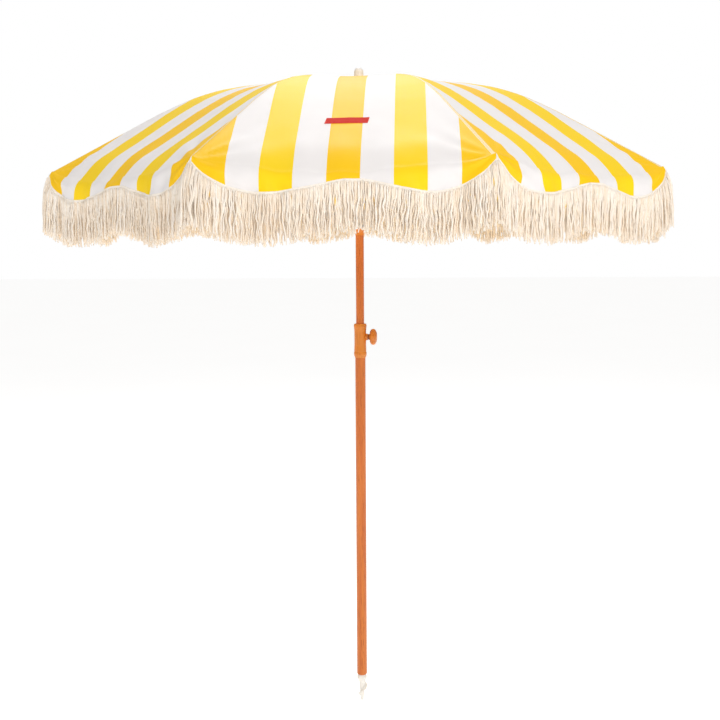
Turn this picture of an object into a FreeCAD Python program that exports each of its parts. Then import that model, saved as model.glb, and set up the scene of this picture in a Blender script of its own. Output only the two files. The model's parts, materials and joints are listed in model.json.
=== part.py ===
import FreeCAD, Part
import math
import os

# Beach umbrella with eight ribs, a two-part wooden pole, a tilt knuckle and a sand spike.
# Millimetres, +Z up along the pole. The origin is the point of the sand spike, and the canopy is
# open and upright. Gore centres face -Y, +Y, -X and +X, the clamp knob points along +X, and the
# canopy tilts towards -X.

V = FreeCAD.Vector

# ---- driving dimensions -------------------------------------------------------------------
RIB_COUNT = 8
TIP_RADIUS = 900.0  # pole axis to the end of a rib
TIP_HEIGHT = 1657.0  # spike point to the rib ends, canopy open

RIB_ROD_R = 2.5
RIB_RISE_DEG = 4.5  # slope of a rib where it leaves the hub
RIB_FALL_DEG = 29.3  # slope of a rib at its outer end
RIB_BEND_START = 150.0  # radii between which a rib bends
RIB_BEND_END = 600.0
PIVOT_RADIUS = 26.0  # hub and runner wire rings
RING_WIRE_R = 1.0
EYE_CLEARANCE = 0.3  # gap between a ring wire and an eye that it threads
EYE_WALL = 2.0

STRETCHER_RADIUS = 190.0  # where a stretcher meets its rib
STRETCHER_DROP = 6.0  # that joint's depth under the rib's centre line
STRETCHER_OPEN_DEG = 31.4  # slope of an open stretcher
STRETCHER_ROD_R = 1.4
STRETCHER_SIDE = 5.1  # stretchers lie beside their ribs by this much
RIB_CLOSED_DEG = 68.9  # how far a rib folds down

FABRIC_LIFT = 3.2  # underside of the fabric above a rib's centre line
FABRIC_THICKNESS = 1.2
FABRIC_INNER_R = 20.0
FABRIC_OUTER_R = 896.0
FABRIC_SEAM_GAP = 1.0  # between the two halves that meet in the middle of a gore
SKIRT_TOP = 4.0  # top of the valance above the rib ends
SKIRT_FACE_GAP = 0.4
RIB_END_GAP = 5.2  # from a rib's end to the valance beside it, along the chord
SKIRT_THICKNESS = 1.2
FRINGE_THICKNESS = 2.4
FRINGE_LENGTH = 112.0
LABEL_RADIUS = 709.0  # place along a rib that the label's middle is level with
LABEL_WIDTH = 104.0
LABEL_HEIGHT = 25.0
LABEL_GAP = 0.3
LABEL_THICKNESS = 0.5
# depth of the valance's hem under the rib ends, against the distance along the chord
HEM_POINTS = [(0.0, 2.0), (60.0, 46.0), (110.0, 74.0), (180.0, 84.0), (260.0, 72.0), (344.4, 52.0)]

SHAFT_R = 9.0
SHAFT_WALL = 1.2
RUNNING_GAP = 0.3
HUB_FLANGE_R = 31.0
HUB_BARREL_R = 16.0
RUNNER_BARREL_R = 17.0
RUNNER_BELOW = 28.0  # runner's lower lip under its pivots
RUNNER_ABOVE = 10.0
FLANGE_HALF = 4.0
FINIAL_TOP = 1988.0
FINIAL_R = 14.0
DOME_FLAT_R = 0.5  # small flat at the middle of each domed end

TILT_HEIGHT = 1534.0
TILT_PIN_R = 2.5
TILT_CHEEK_R = 9.0
TILT_CHEEK_IN = 5.3
TILT_CHEEK_OUT = 8.8
COLLAR_BOTTOM = 1486.0
COLLAR_TOP = 1510.0
COLLAR_R = 16.3
FORK_BASE_TOP = 1522.0
FORK_BASE_R = 11.0

UPPER_POLE_R = 12.5
UPPER_POLE_BOTTOM = 700.0
LOWER_POLE_R = 16.0
LOWER_POLE_BORE_R = 13.1
LOWER_POLE_BOTTOM = 89.0
LOWER_POLE_TOP = 1155.0
TENON_R = 15.1  # lower pole's reduced end inside the sleeve
LOWER_BORE_BOTTOM = 420.0
SPIGOT_R = 9.0
SPIKE_FLIGHT_R = LOWER_POLE_R  # no wider than the pole, so that a base tube slides over the spike
SPIGOT_TOP = 144.0

SLEEVE_BOTTOM = 1110.0
SLEEVE_TOP = 1215.0
SLEEVE_R = 19.0
CLAMP_HEIGHT = 1174.0
BOSS_R = 10.5
BOSS_END = 22.6
INSERT_R = 7.0
INSERT_START = 17.0
SCREW_R = 3.9
SCREW_BORE_R = 4.0
PAD_TIP = 12.85
PAD_END = 15.9
SCREW_START = 16.2
SCREW_END = 46.0
KNOB_START = 23.2
KNOB_END = 52.0
KNOB_R = 25.0
KNOB_NECK_R = 8.5
KNOB_NECK_END = 29.5

BUTTON_HEIGHT = 1515.5
BUTTON_R = 3.0
BUTTON_BORE_R = 3.2
BUTTON_BORE_START = 2.0
BUTTON_INNER = 6.0
BUTTON_OUTER = 14.0
BUTTON_PRESS = 2.5
CATCH_HEIGHT = 12.0
CATCH_WIDTH = 6.0
CATCH_OUTER = 12.5
CATCH_INNER = 2.0

# ---- worked out from them -----------------------------------------------------------------
STEP_DEG = 360.0 / RIB_COUNT
HALF_GORE = math.radians(STEP_DEG / 2)
RISE = math.radians(RIB_RISE_DEG)
FALL = math.radians(RIB_FALL_DEG)
BEND_R = (RIB_BEND_END - RIB_BEND_START) / (math.sin(RISE) + math.sin(FALL))
BEND_END_Z = TIP_HEIGHT + (TIP_RADIUS - RIB_BEND_END) * math.tan(FALL)
BEND_CENTRE_R = RIB_BEND_START + BEND_R * math.sin(RISE)
BEND_CENTRE_Z = BEND_END_Z - BEND_R * math.cos(FALL)
BEND_START_Z = BEND_CENTRE_Z + BEND_R * math.cos(RISE)
HUB_Z = BEND_START_Z - (RIB_BEND_START - PIVOT_RADIUS) * math.tan(RISE)
HALF_CHORD = TIP_RADIUS * math.sin(HALF_GORE)
GORE_EDGE = TIP_RADIUS * math.cos(HALF_GORE)


def rib_z(radius):
    """Height of a rib's centre line."""
    if radius < RIB_BEND_START:
        return HUB_Z + (radius - PIVOT_RADIUS) * math.tan(RISE)
    if radius > RIB_BEND_END:
        return TIP_HEIGHT + (TIP_RADIUS - radius) * math.tan(FALL)
    return BEND_CENTRE_Z + math.sqrt(BEND_R**2 - (radius - BEND_CENTRE_R) ** 2)


STRETCHER_TOP_Z = rib_z(STRETCHER_RADIUS) - STRETCHER_DROP
RUNNER_PIVOT_R = math.sqrt(PIVOT_RADIUS**2 - STRETCHER_SIDE**2)
STRETCHER_RUN = STRETCHER_RADIUS - RUNNER_PIVOT_R
STRETCHER_LENGTH = STRETCHER_RUN / math.cos(math.radians(STRETCHER_OPEN_DEG))
RUNNER_Z = STRETCHER_TOP_Z - STRETCHER_RUN * math.tan(math.radians(STRETCHER_OPEN_DEG))

# the closed linkage: the rib swings down, and the stretcher's length gives the runner's place
RIB_ARM = math.hypot(STRETCHER_RADIUS - PIVOT_RADIUS, STRETCHER_TOP_Z - HUB_Z)
ARM_DEG = math.degrees(math.atan2(STRETCHER_TOP_Z - HUB_Z, STRETCHER_RADIUS - PIVOT_RADIUS))
CLOSED_ARM = math.radians(RIB_CLOSED_DEG - ARM_DEG)
CLOSED_TOP_R = PIVOT_RADIUS + RIB_ARM * math.cos(CLOSED_ARM)
CLOSED_TOP_Z = HUB_Z - RIB_ARM * math.sin(CLOSED_ARM)
CLOSED_RISE = math.sqrt(STRETCHER_LENGTH**2 - (CLOSED_TOP_R - RUNNER_PIVOT_R) ** 2)
CLOSED_RUNNER_Z = CLOSED_TOP_Z - CLOSED_RISE
RUNNER_TRAVEL = RUNNER_Z - CLOSED_RUNNER_Z
STRETCHER_CLOSED_DEG = math.degrees(math.atan2(CLOSED_RISE, CLOSED_TOP_R - RUNNER_PIVOT_R))


# ---- shape helpers ------------------------------------------------------------------------
def rod(radius, low, high):
    return Part.makeCylinder(radius, high - low, V(0, 0, low))


def tube(outer, inner, low, high):
    return rod(outer, low, high).cut(rod(inner, low - 1, high + 1))


def rod_x(radius, start, end, z, y=0.0):
    return Part.makeCylinder(radius, end - start, V(start, y, z), V(1, 0, 0))


def rod_y(radius, start, end, x, z):
    return Part.makeCylinder(radius, end - start, V(x, start, z), V(0, 1, 0))


def block(low, high):
    return Part.makeBox(high[0] - low[0], high[1] - low[1], high[2] - low[2], V(*low))


def outline(points):
    """Edges through (radius, height) points. A point with a third value, True, is the middle of an arc."""
    edges = []
    corner = None
    middle = None
    for point in points:
        place = V(point[0], 0, point[1])
        if len(point) == 3:
            middle = place
            continue
        if corner is not None:
            if middle is None:
                edges.append(Part.makeLine(corner, place))
            else:
                edges.append(Part.Arc(corner, middle, place).toShape())
        corner = place
        middle = None
    return edges


def turned(points, base=V(0, 0, 0), axis=V(0, 0, 1)):
    """A solid of revolution about an axis in the XZ plane, from its closed outline."""
    face = Part.Face(Part.Wire(outline(points + [points[0][:2]])))
    return face.revolve(base, axis, 360)


def ring(radius, wire_r, z):
    return Part.makeTorus(radius, wire_r, V(0, 0, z), V(0, 0, 1))


def turned_copy(shape, degrees):
    copy = shape.copy()
    copy.rotate(V(0, 0, 0), V(0, 0, 1), degrees)
    return copy


def rib_azimuth(number):
    return STEP_DEG / 2 + STEP_DEG * number


def export(name, *solids):
    shape = solids[0] if len(solids) == 1 else Part.makeCompound(solids)
    shape.exportStep("parts/" + name + ".step")


# ---- pole ---------------------------------------------------------------------------------
def ground_spike():
    """Moulded point with a screw flight, a ring under the pole and a spigot inside it."""
    shoulder = LOWER_POLE_R - 1.2
    neck = LOWER_POLE_BOTTOM - 17
    core = turned(
        [(0, 0), (4.5, 5), (9.5, neck - 8), (12, neck), (shoulder, neck + 3)]
        + [(shoulder + 0.7, neck + 7.5, True), (shoulder, neck + 12), (12.5, LOWER_POLE_BOTTOM)]
        + [(SPIGOT_R, LOWER_POLE_BOTTOM), (SPIGOT_R, SPIGOT_TOP), (0, SPIGOT_TOP)]
    )
    pitch, turns, mean_r = 54.0, 1.0, 8.0
    flight_bottom, flight_start = 12.0, 107.0
    helix = Part.makeHelix(pitch, pitch * turns, mean_r)
    blade = [V(1.5, 0, -3.4), V(SPIKE_FLIGHT_R, 0, -1.2), V(SPIKE_FLIGHT_R, 0, 1.2), V(1.5, 0, 3.4)]
    flight = Part.Wire(helix).makePipeShell([Part.makePolygon(blade + blade[:1])], True, True)
    flight.rotate(V(0, 0, 0), V(0, 0, 1), flight_start)
    flight.translate(V(0, 0, flight_bottom))
    cone_low = 12.0
    cone = Part.makeCone(cone_low, SPIKE_FLIGHT_R + 3, neck, V(0, 0, 0), V(0, 0, 1))
    return core.fuse(flight.common(cone)).removeSplitter()


def lower_pole():
    edge = 5.0
    body = turned(
        [
            (SPIGOT_R, LOWER_POLE_BOTTOM),
            (LOWER_POLE_R - edge, LOWER_POLE_BOTTOM),
            (LOWER_POLE_R - edge * 0.3, LOWER_POLE_BOTTOM + edge * 0.3, True),
            (LOWER_POLE_R, LOWER_POLE_BOTTOM + edge),
            (LOWER_POLE_R, SLEEVE_BOTTOM),
            (TENON_R, SLEEVE_BOTTOM),
            (TENON_R, LOWER_POLE_TOP),
            (LOWER_POLE_BORE_R, LOWER_POLE_TOP),
            (LOWER_POLE_BORE_R, LOWER_BORE_BOTTOM),
            (0, LOWER_BORE_BOTTOM - LOWER_POLE_BORE_R / 2),
            (0, SPIGOT_TOP),
            (SPIGOT_R, SPIGOT_TOP),
        ]
    )
    return body


def clamp_sleeve():
    """Turned wooden sleeve on top of the lower pole, with a side boss for the clamp screw."""
    body = turned(
        [
            (TENON_R, SLEEVE_BOTTOM),
            (LOWER_POLE_R + 1.0, SLEEVE_BOTTOM),
            (SLEEVE_R, SLEEVE_BOTTOM + 6),
            (SLEEVE_R + 0.8, SLEEVE_BOTTOM + 12, True),
            (SLEEVE_R, SLEEVE_BOTTOM + 18),
            (SLEEVE_R - 0.4, SLEEVE_BOTTOM + 20, True),
            (SLEEVE_R, SLEEVE_BOTTOM + 22),
            (SLEEVE_R - 0.8, CLAMP_HEIGHT - 26),
            (SLEEVE_R - 0.8, CLAMP_HEIGHT + 16),
            (SLEEVE_R, SLEEVE_TOP - 14),
            (SLEEVE_R + 0.8, SLEEVE_TOP - 6, True),
            (SLEEVE_R - 0.6, SLEEVE_TOP),
            (LOWER_POLE_BORE_R, SLEEVE_TOP),
            (LOWER_POLE_BORE_R, LOWER_POLE_TOP),
            (TENON_R, LOWER_POLE_TOP),
        ]
    )
    boss = rod_x(BOSS_R, PAD_END, BOSS_END, CLAMP_HEIGHT)
    body = body.fuse(boss).removeSplitter()
    body = body.cut(rod_x(INSERT_R, INSERT_START, BOSS_END + 1, CLAMP_HEIGHT))
    return body.cut(rod_x(SCREW_BORE_R, LOWER_POLE_BORE_R - 2, INSERT_START + 1, CLAMP_HEIGHT))


def clamp_insert():
    body = rod_x(INSERT_R, INSERT_START, BOSS_END, CLAMP_HEIGHT)
    return body.cut(rod_x(SCREW_BORE_R, INSERT_START - 1, BOSS_END + 1, CLAMP_HEIGHT))


def pressure_pad():
    return rod_x(SCREW_R - 0.1, PAD_TIP, PAD_END, CLAMP_HEIGHT)


def clamp_screw():
    return rod_x(SCREW_R, SCREW_START, SCREW_END, CLAMP_HEIGHT)


def clamp_knob():
    """Mushroom knob, turned about the screw's axis and pressed on the screw."""
    mid = (KNOB_NECK_END + KNOB_END) / 2
    profile = [
        (0, SCREW_END),
        (0, KNOB_END),
        (DOME_FLAT_R, KNOB_END),
        (KNOB_R * 0.6, KNOB_END - 1.4, True),
        (KNOB_R - 3, KNOB_END - 5),
        (KNOB_R, mid + 1, True),
        (KNOB_R - 2.5, mid - 7),
        (KNOB_R - 8, KNOB_NECK_END + 1, True),
        (KNOB_NECK_R + 3, KNOB_NECK_END),
        (KNOB_NECK_R, (KNOB_START + KNOB_NECK_END) / 2, True),
        (KNOB_NECK_R + 1.5, KNOB_START),
        (SCREW_R, KNOB_START),
        (SCREW_R, SCREW_END),
    ]
    body = turned(profile)
    body.rotate(V(0, 0, 0), V(0, 1, 0), 90)
    body.translate(V(0, 0, CLAMP_HEIGHT))
    return body


def upper_pole():
    body = rod(UPPER_POLE_R, UPPER_POLE_BOTTOM, COLLAR_TOP)
    return body.cut(rod(5, COLLAR_TOP - 40, COLLAR_TOP + 1))


def pole_collar():
    """Flared collar that ends the upper pole under the tilt knuckle."""
    return turned(
        [
            (UPPER_POLE_R, COLLAR_BOTTOM),
            (UPPER_POLE_R + 0.8, COLLAR_BOTTOM),
            (UPPER_POLE_R + 1.6, (COLLAR_BOTTOM + COLLAR_TOP) / 2, True),
            (COLLAR_R, COLLAR_TOP - 5),
            (COLLAR_R + 0.4, COLLAR_TOP - 2.5, True),
            (COLLAR_R - 0.8, COLLAR_TOP),
            (UPPER_POLE_R, COLLAR_TOP),
        ]
    )


# ---- tilt knuckle -------------------------------------------------------------------------
def tilt_fork():
    """Steel base with two cheeks for the tilt pin and a spigot that is driven into the pole."""
    body = rod(FORK_BASE_R, COLLAR_TOP, FORK_BASE_TOP)
    for side in (-1, 1):
        y_low = min(side * TILT_CHEEK_IN, side * TILT_CHEEK_OUT)
        width = TILT_CHEEK_OUT - TILT_CHEEK_IN
        foot = block((-8, y_low, FORK_BASE_TOP - 4), (8, y_low + width, TILT_HEIGHT))
        body = body.fuse(foot.common(rod(FORK_BASE_R + 0.5, FORK_BASE_TOP - 5, TILT_HEIGHT + 20)))
        body = body.fuse(rod_y(TILT_CHEEK_R, y_low, y_low + width, 0, TILT_HEIGHT))
    body = body.fuse(rod(5, COLLAR_TOP - 40, COLLAR_TOP))
    body = body.cut(rod_y(TILT_PIN_R, -20, 20, 0, TILT_HEIGHT))
    return body.cut(rod_x(BUTTON_BORE_R, BUTTON_BORE_START, 20, BUTTON_HEIGHT)).removeSplitter()


def tilt_pin():
    head = 1.4
    body = rod_y(TILT_PIN_R, -TILT_CHEEK_OUT - head, TILT_CHEEK_OUT + head, 0, TILT_HEIGHT)
    for start in (-TILT_CHEEK_OUT - head, TILT_CHEEK_OUT):
        body = body.fuse(rod_y(TILT_PIN_R + 1.8, start, start + head, 0, TILT_HEIGHT))
    return body.removeSplitter()


def tilt_button():
    """Hollow plunger that is pressed in to free the tilt."""
    body = rod_x(BUTTON_R, BUTTON_INNER, BUTTON_OUTER, BUTTON_HEIGHT)
    return body.cut(rod_x(BUTTON_R - 0.7, BUTTON_INNER - 1, BUTTON_OUTER - 2, BUTTON_HEIGHT))


def button_spring():
    """Flat-wire spring behind the button, as short as the pressed button leaves it."""
    inner, outer, half_wire, pitch = 1.2, 2.0, 0.35, 1.5
    room = BUTTON_OUTER - 2 - BUTTON_PRESS - BUTTON_BORE_START
    length = room - 2 * half_wire - 0.4
    path = Part.makeHelix(pitch, length, (inner + outer) / 2)
    corners = [(inner, -half_wire), (outer, -half_wire), (outer, half_wire), (inner, half_wire)]
    loop = Part.makePolygon([V(x, 0, z) for x, z in corners + corners[:1]])
    body = Part.Wire(path).makePipeShell([loop], True, True)
    body.rotate(V(0, 0, 0), V(0, 1, 0), 90)
    body.translate(V(BUTTON_BORE_START + half_wire + 0.2, 0, BUTTON_HEIGHT))
    return body


def tilt_tongue():
    """Steel tongue between the cheeks, with a ferrule and a plug that carry the canopy shaft."""
    ferrule_low = TILT_HEIGHT + TILT_CHEEK_R + 2
    ferrule_top = ferrule_low + 8
    body = rod_y(TILT_CHEEK_R, -TILT_CHEEK_IN + 0.3, TILT_CHEEK_IN - 0.3, 0, TILT_HEIGHT)
    stem = block((-8, -TILT_CHEEK_IN + 0.3, TILT_HEIGHT), (8, TILT_CHEEK_IN - 0.3, ferrule_low + 1))
    body = body.fuse(stem)
    body = body.fuse(rod(SHAFT_R + 2.5, ferrule_low, ferrule_top))
    body = body.fuse(rod(SHAFT_R - SHAFT_WALL, ferrule_top, ferrule_top + 45))
    return body.cut(rod_y(TILT_PIN_R + 0.08, -20, 20, 0, TILT_HEIGHT)).removeSplitter()


# ---- canopy shaft, hub and runner ---------------------------------------------------------
def catch_top():
    return RUNNER_Z - RUNNER_BELOW - 0.5


def canopy_shaft():
    low = TILT_HEIGHT + TILT_CHEEK_R + 10
    body = tube(SHAFT_R, SHAFT_R - SHAFT_WALL, low, HUB_Z - 6)
    gap = RUNNING_GAP
    slot_low = (4, -CATCH_WIDTH / 2 - gap, catch_top() - CATCH_HEIGHT - gap)
    slot_high = (20, CATCH_WIDTH / 2 + gap, catch_top() + gap)
    return body.cut(block(slot_low, slot_high))


def runner_catch():
    """Spring-backed wedge in the shaft that holds the runner's lower lip up."""
    top = catch_top()
    points = [
        V(CATCH_INNER, 0, top),
        V(CATCH_OUTER, 0, top),
        V(CATCH_OUTER, 0, top - 3),
        V(SHAFT_R, 0, top - CATCH_HEIGHT),
        V(CATCH_INNER, 0, top - CATCH_HEIGHT),
    ]
    face = Part.Face(Part.makePolygon(points + points[:1]))
    body = face.extrude(V(0, CATCH_WIDTH, 0))
    body.translate(V(0, -CATCH_WIDTH / 2, 0))
    return body


def slotted(body, z, side, width, depth_r):
    """Cuts one open slot for each rib or stretcher in a flange at height z."""
    cutter = block((depth_r, side - width / 2, z - 30), (60, side + width / 2, z + 30))
    cutter = cutter.common(rod(60, z - FLANGE_HALF - 1, z + FLANGE_HALF + 1))
    for number in range(RIB_COUNT):
        body = body.cut(turned_copy(cutter, rib_azimuth(number)))
    return body


def top_hub():
    """Moulded notched hub fixed on the shaft's upper end. The wire ring lies in its flange."""
    body = rod(HUB_BARREL_R, HUB_Z - 26, HUB_Z - 6).cut(rod(SHAFT_R, HUB_Z - 27, HUB_Z - 6))
    body = body.fuse(rod(HUB_FLANGE_R, HUB_Z - FLANGE_HALF, HUB_Z + FLANGE_HALF - 1.5))
    body = body.fuse(rod(HUB_BARREL_R, HUB_Z - 6, HUB_Z + FLANGE_HALF - 1.5))
    body = body.cut(rod(4, HUB_Z - 40, HUB_Z + 40))
    body = body.cut(ring(PIVOT_RADIUS, RING_WIRE_R, HUB_Z))
    return [slotted(body, HUB_Z, 0, 6.4, HUB_BARREL_R + 3), ring(PIVOT_RADIUS, RING_WIRE_R, HUB_Z)]


def runner():
    """Moulded sliding runner with a keyway over the catch, closed by a lip at its lower end."""
    low, high = RUNNER_Z - RUNNER_BELOW, RUNNER_Z + RUNNER_ABOVE
    body = turned(
        [
            (SHAFT_R + RUNNING_GAP, low),
            (RUNNER_BARREL_R + 1, low),
            (RUNNER_BARREL_R + 1.6, low + 2, True),
            (RUNNER_BARREL_R + 1, low + 4),
            (RUNNER_BARREL_R, low + 5),
            (RUNNER_BARREL_R, RUNNER_Z - FLANGE_HALF - 3),
            (RUNNER_BARREL_R + 3, RUNNER_Z - FLANGE_HALF),
            (HUB_FLANGE_R, RUNNER_Z - FLANGE_HALF),
            (HUB_FLANGE_R, RUNNER_Z + FLANGE_HALF),
            (RUNNER_BARREL_R, RUNNER_Z + FLANGE_HALF),
            (RUNNER_BARREL_R, high - 2),
            (RUNNER_BARREL_R - 2, high),
            (SHAFT_R + RUNNING_GAP, high),
        ]
    )
    keyway_half = CATCH_WIDTH / 2 + 0.5
    keyway = block((0, -keyway_half, low + 3), (CATCH_OUTER + 0.7, keyway_half, high + 1))
    body = body.cut(keyway)
    body = body.cut(ring(PIVOT_RADIUS, RING_WIRE_R, RUNNER_Z))
    body = slotted(body, RUNNER_Z, STRETCHER_SIDE, 4.4, HUB_BARREL_R + 3)
    return [body, ring(PIVOT_RADIUS, RING_WIRE_R, RUNNER_Z)]


def finial():
    """Rounded plastic cap over the middle of the fabric, with a stud into the hub."""
    flange_z = HUB_Z + 7.5
    neck = FINIAL_R - 3
    return turned(
        [
            (0, HUB_Z - 20),
            (4, HUB_Z - 20),
            (4, flange_z),
            (24, flange_z),
            (24.6, flange_z + 1.5, True),
            (24, flange_z + 3),
            (neck, flange_z + 7),
            (neck, flange_z + 24),
            (FINIAL_R, flange_z + 28),
            (FINIAL_R, FINIAL_TOP - FINIAL_R),
            (FINIAL_R * 0.7071, FINIAL_TOP - FINIAL_R * 0.2929, True),
            (DOME_FLAT_R, FINIAL_TOP),
            (0, FINIAL_TOP),
        ]
    )


# ---- ribs, stretchers, fabric -------------------------------------------------------------
# Each is built for a rib on the +X side and turned about the pole axis afterwards.
def rib_path(start, end, lift=0.0):
    """Edges of a rib's line between two radii, raised by lift."""
    middle = (RIB_BEND_START + RIB_BEND_END) / 2
    return outline(
        [
            (start, rib_z(start) + lift),
            (RIB_BEND_START, BEND_START_Z + lift),
            (middle, rib_z(middle) + lift, True),
            (RIB_BEND_END, BEND_END_Z + lift),
            (end, rib_z(end) + lift),
        ]
    )


def eye(radius, x, z, y_mid, thickness):
    return rod_y(radius, y_mid - thickness / 2, y_mid + thickness / 2, x, z)


def rib():
    eye_r = RING_WIRE_R + EYE_CLEARANCE + EYE_WALL
    cap_length = 14.0
    start = PIVOT_RADIUS + 1.5
    end = TIP_RADIUS - cap_length * math.cos(FALL)
    circle = Part.makeCircle(RIB_ROD_R, V(start, 0, rib_z(start)), V(math.cos(RISE), 0, math.sin(RISE)))
    path = Part.Wire(rib_path(start, end))
    body = path.makePipeShell([Part.Wire(circle)], True, False)
    nose = Part.makeCylinder(
        RIB_ROD_R - 0.8, cap_length - 3, V(end, 0, rib_z(end)), V(math.cos(FALL), 0, -math.sin(FALL))
    )
    body = body.fuse(nose).fuse(eye(eye_r, PIVOT_RADIUS, HUB_Z, 0, 5))
    return body.cut(eye(RING_WIRE_R + EYE_CLEARANCE, PIVOT_RADIUS, HUB_Z, 0, 20)).removeSplitter()


def rib_cap():
    """Plastic cap on the rib's outer end."""
    length = 14.0
    radius = RIB_ROD_R + 0.2
    body = turned(
        [
            (RIB_ROD_R - 0.8, 0),
            (radius, 0),
            (radius, length - radius),
            (radius * 0.7071, length - radius * 0.2929, True),
            (DOME_FLAT_R, length),
            (0, length),
            (0, length - 3),
            (RIB_ROD_R - 0.8, length - 3),
        ]
    )
    body.rotate(V(0, 0, 0), V(0, 1, 0), 90 + RIB_FALL_DEG)
    end = TIP_RADIUS - length * math.cos(FALL)
    body.translate(V(end, 0, rib_z(end)))
    return body


def rib_clip():
    """Clip under the rib that holds the stretcher's rivet."""
    half_width, half_length = 3.2, 8.0
    x, z = STRETCHER_RADIUS, rib_z(STRETCHER_RADIUS)
    body = block((x - half_length, -half_width, z - 10), (x + half_length, half_width, z + 1.2))
    start = PIVOT_RADIUS + 1.5
    circle = Part.makeCircle(RIB_ROD_R, V(start, 0, rib_z(start)), V(math.cos(RISE), 0, math.sin(RISE)))
    channel = Part.Wire(rib_path(start, TIP_RADIUS)).makePipeShell([Part.Wire(circle)], True, False)
    return body.cut(channel)


def stretcher():
    """Thin rod with an eye on the runner's ring and a riveted eye beside the rib's clip."""
    thickness = 3.2
    eye_r = RING_WIRE_R + 2 * EYE_CLEARANCE + EYE_WALL
    low = V(RUNNER_PIVOT_R, STRETCHER_SIDE, RUNNER_Z)
    high = V(STRETCHER_RADIUS, STRETCHER_SIDE, STRETCHER_TOP_Z)
    along = high.sub(low).normalize()
    body = Part.makeCylinder(STRETCHER_ROD_R, STRETCHER_LENGTH, low, along)
    body = body.fuse(eye(eye_r, low.x, low.z, STRETCHER_SIDE, thickness))
    body = body.fuse(eye(4.0, high.x, high.z, STRETCHER_SIDE, thickness))
    outer_face = STRETCHER_SIDE + thickness / 2
    rivet = rod_y(2.2, outer_face - 0.5, outer_face + 1, high.x, high.z)
    hole = eye(RING_WIRE_R + 2 * EYE_CLEARANCE, low.x, low.z, STRETCHER_SIDE, 20)
    return body.fuse(rivet).cut(hole).removeSplitter()


def gore_sheet(start, end, lift, thickness):
    """A sheet over the ribs between two rib radii, bent as the middle of a gore on the +X side."""
    under = rib_path(start, end, lift)
    over = rib_path(start, end, lift + thickness)
    ends = []
    for radius in (start, end):
        z = rib_z(radius) + lift
        ends.append(Part.makeLine(V(radius, 0, z), V(radius, 0, z + thickness)))
    section = Part.Face(Part.Wire(Part.__sortEdges__(under + over + ends)))
    # a gore is bent one way only, so its middle is the rib's line drawn closer to the axis
    narrow = FreeCAD.Matrix()
    narrow.scale(math.cos(HALF_GORE), 1, 1)
    return section.transformGeometry(narrow).extrude(V(0, 2 * HALF_CHORD, 0))


def canopy_gore():
    """The fabric that one rib carries: half a gore on each side of it, meeting in a ridge."""
    sheet = gore_sheet(FABRIC_INNER_R, FABRIC_OUTER_R, FABRIC_LIFT, FABRIC_THICKNESS)
    slope = math.tan(HALF_GORE)
    near, far, edge = 10.0, TIP_RADIUS, FABRIC_SEAM_GAP / 2
    plan = [V(near, edge, 0), V(far, edge, 0), V(far, far * slope, 0), V(near, near * slope, 0)]
    wedge = Part.Face(Part.makePolygon(plan + plan[:1])).extrude(V(0, 0, 2 * TIP_HEIGHT))
    half = sheet.common(wedge)
    half.rotate(V(0, 0, 0), V(0, 0, 1), -STEP_DEG / 2)
    other = half.mirror(V(0, 0, 0), V(0, 1, 0))
    return half.fuse(other).removeSplitter()


def label():
    """Plain sewn strip across the middle of the gore on the -Y side."""
    lift = FABRIC_LIFT + FABRIC_THICKNESS + LABEL_GAP
    sheet = gore_sheet(FABRIC_INNER_R, FABRIC_OUTER_R, lift, LABEL_THICKNESS)
    middle = LABEL_RADIUS * math.cos(HALF_GORE)
    low = (middle - LABEL_HEIGHT / 2, 0, 0)
    high = (middle + LABEL_HEIGHT / 2, LABEL_WIDTH, 2 * TIP_HEIGHT)
    strip = sheet.common(block(low, high))
    strip.translate(V(0, -LABEL_WIDTH / 2, 0))
    return turned_copy(strip, -90)


def hanging_plate(upper, lower, thickness):
    """A plate under one half chord. upper and lower are (distance, height) lists along it."""
    edges = []
    for line in (upper, lower):
        points = [V(0, distance, height) for distance, height in line]
        if len(points) == 2:
            edges.append(Part.makeLine(points[0], points[1]))
        else:
            curve = Part.BSplineCurve()
            curve.interpolate(points)
            edges.append(curve.toShape())
    for end in (0, -1):
        edges.append(Part.makeLine(V(0, *upper[end]), V(0, *lower[end])))
    plate = Part.Face(Part.Wire(Part.__sortEdges__(edges))).extrude(V(thickness, 0, 0))
    # the chord starts at the rib's end and leaves it towards the middle of the next gore
    span = block((-10, RIB_END_GAP, 0), (10, HALF_CHORD - FABRIC_SEAM_GAP / 2, 2 * TIP_HEIGHT))
    plate = plate.common(span)
    plate.translate(V(FABRIC_OUTER_R * math.cos(HALF_GORE) + SKIRT_FACE_GAP, -HALF_CHORD, 0))
    plate.rotate(V(0, 0, 0), V(0, 0, 1), STEP_DEG / 2)
    return plate


def valance():
    """The strips of fabric that hang beside one rib end, and the fringe under their hem."""
    top = [(0, TIP_HEIGHT + SKIRT_TOP), (HALF_CHORD, TIP_HEIGHT + SKIRT_TOP)]
    hem = [(distance, TIP_HEIGHT - depth) for distance, depth in HEM_POINTS]
    ends = [(distance, height - FRINGE_LENGTH) for distance, height in hem]
    plates = [
        hanging_plate(top, hem, SKIRT_THICKNESS),
        hanging_plate(hem, ends, FRINGE_THICKNESS),
    ]
    return plates + [plate.mirror(V(0, 0, 0), V(0, 1, 0)) for plate in plates]


# ---- write the parts ----------------------------------------------------------------------
os.makedirs("parts", exist_ok=True)

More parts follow.
